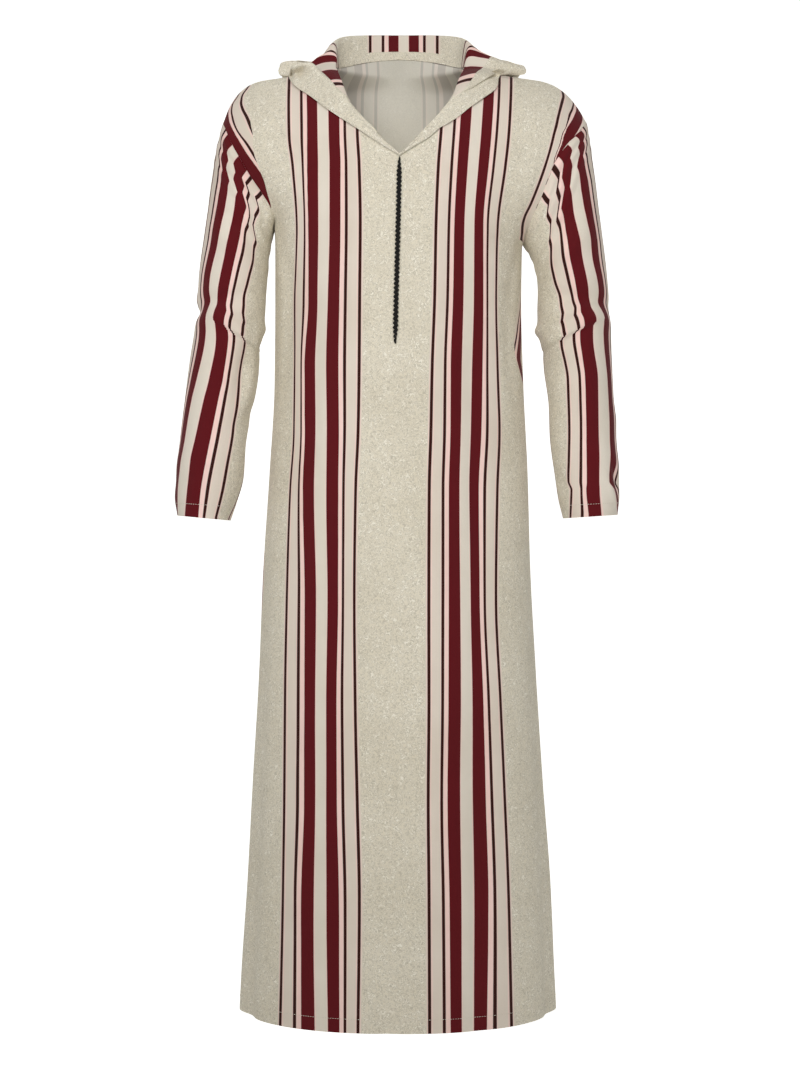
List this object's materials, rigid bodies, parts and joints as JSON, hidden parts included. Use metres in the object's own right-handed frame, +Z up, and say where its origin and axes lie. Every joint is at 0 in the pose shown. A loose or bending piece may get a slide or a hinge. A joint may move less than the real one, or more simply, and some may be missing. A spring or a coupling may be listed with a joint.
{
  "type": "hooded long robe (djellaba)",
  "caption": "Ankle-length hooded robe of striped cloth, worn shape, with straight long sleeves, a hood thrown back, a V neck and a braided slit down the front",
  "frame": {"origin": "midway between the points where the two shoulder seams meet the neck, where the wearer's neck and shoulders hold the robe", "axes": "+Z up, -Y the way the front faces, +X the viewer's right when looking at the front"},
  "size_m": [0.6222, 0.3231, 1.401],
  "materials": {
    "striped_cloth": "matte woven cloth, heathered beige with printed dark red, cream and brown stripes",
    "hood_cloth": "matte woven cloth, heathered beige, striped at the neck",
    "black_braid": "knotted silky braid, near black"
  },
  "bodies": {
    "root": {"front": "striped_cloth", "back": "striped_cloth", "sleeve_left": "striped_cloth", "sleeve_right": "striped_cloth", "hood": "hood_cloth", "slit_braid": "black_braid"}
  },
  "joints": []
}
